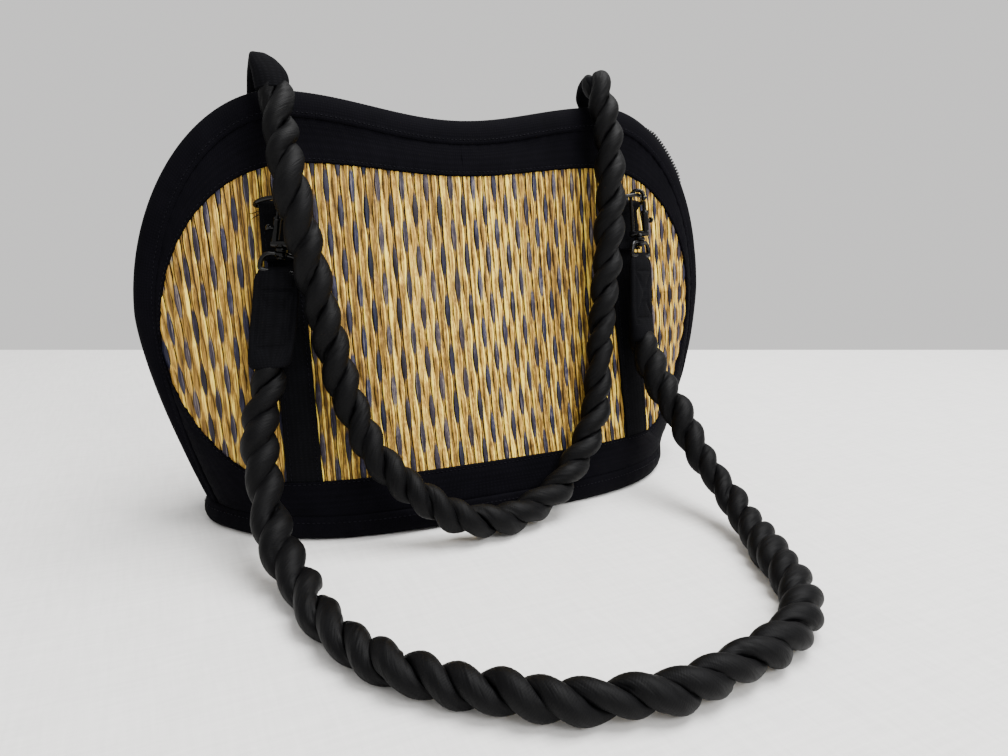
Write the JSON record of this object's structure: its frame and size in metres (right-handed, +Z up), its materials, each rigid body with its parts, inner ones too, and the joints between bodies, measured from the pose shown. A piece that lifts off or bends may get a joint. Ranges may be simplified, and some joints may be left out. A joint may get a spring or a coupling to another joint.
{
  "type": "basket handbag",
  "caption": "Kidney-shaped handbag of woven reed with black fabric trim, a zip over its curved top and twisted rope handles held by swivel snap hooks.",
  "frame": {"origin": "middle of the base's underside, on the table", "axes": "+X along the bag's width to the right as seen from the front, front faces -Y, +Z up"},
  "size_m": [0.3518, 0.3036, 0.2409],
  "materials": {
    "reed": "matte",
    "black_fabric": "matte",
    "black_zip": "satin",
    "black_metal": "gloss",
    "black_rope": "satin"
  },
  "bodies": {
    "bag": {"front_reed_panel": "reed", "front_border": "black_fabric", "front_gusset": "black_fabric", "back_reed_panel": "reed", "back_border": "black_fabric", "back_gusset": "black_fabric", "zip_chain": "black_zip", "zip_slider": "black_metal", "base_tray": "black_fabric", "front_left_band": "black_fabric", "front_left_ring_loop": "black_fabric", "front_left_d_ring": "black_metal", "front_left_hook": "black_metal", "front_left_eye": "black_metal", "front_left_tab": "black_fabric", "front_right_band": "black_fabric", "front_right_ring_loop": "black_fabric", "front_right_d_ring": "black_metal", "front_right_hook": "black_metal", "front_right_eye": "black_metal", "front_right_tab": "black_fabric", "back_left_band": "black_fabric", "back_left_ring_loop": "black_fabric", "back_left_d_ring": "black_metal", "back_left_clasp": "black_metal", "back_left_tab": "black_fabric", "back_right_band": "black_fabric", "back_right_ring_loop": "black_fabric", "back_right_d_ring": "black_metal", "back_right_clasp": "black_metal", "back_right_tab": "black_fabric", "front_rope": "black_rope", "back_rope": "black_rope"},
    "left_bolt": {"front_left_bolt": "black_metal"},
    "right_bolt": {"front_right_bolt": "black_metal"}
  },
  "joints": [
    {"name": "left_bolt_slide", "type": "slide", "parent": "bag", "child": "left_bolt", "axis": [-0.1828, -0.1632, -0.9695], "range_m": [0, 0.004], "stiffness_N_per_m": 200, "springref_m": -0.002},
    {"name": "right_bolt_slide", "type": "slide", "parent": "bag", "child": "right_bolt", "axis": [0.0096, -0.1754, -0.9844], "range_m": [0, 0.004], "stiffness_N_per_m": 200, "springref_m": -0.002}
  ]
}
